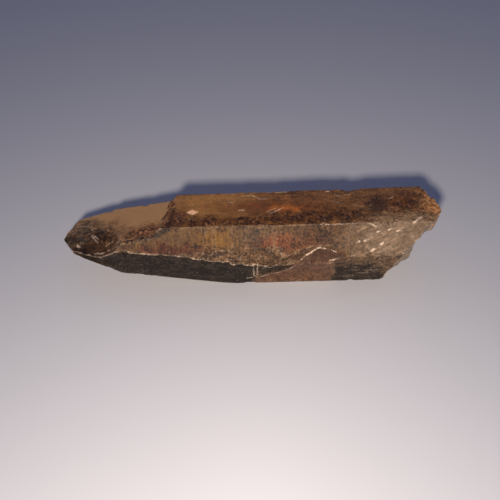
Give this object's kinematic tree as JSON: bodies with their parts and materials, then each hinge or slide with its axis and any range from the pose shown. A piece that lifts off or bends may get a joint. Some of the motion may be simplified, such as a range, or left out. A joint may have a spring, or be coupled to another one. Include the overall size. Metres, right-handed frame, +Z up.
{
  "type": "citrine crystal",
  "caption": "Natural citrine quartz crystal: a tapering six-sided smoky gold prism with a chipped tip, a crumbled ledge and a broken milky base, lying on a prism face.",
  "frame": {"origin": "centre of the crystal's box, at the flat prism face that it rests on", "axes": "+X along the crystal from its tip towards its broken base, +Z up from the face it rests on"},
  "size_m": [0.0792, 0.0202, 0.0172],
  "materials": {
    "citrine": "see-through smoky golden brown quartz, glossy on the crystal faces, frosted and milky towards the broken base"
  },
  "bodies": {
    "root": {"crystal": "citrine"}
  },
  "joints": []
}
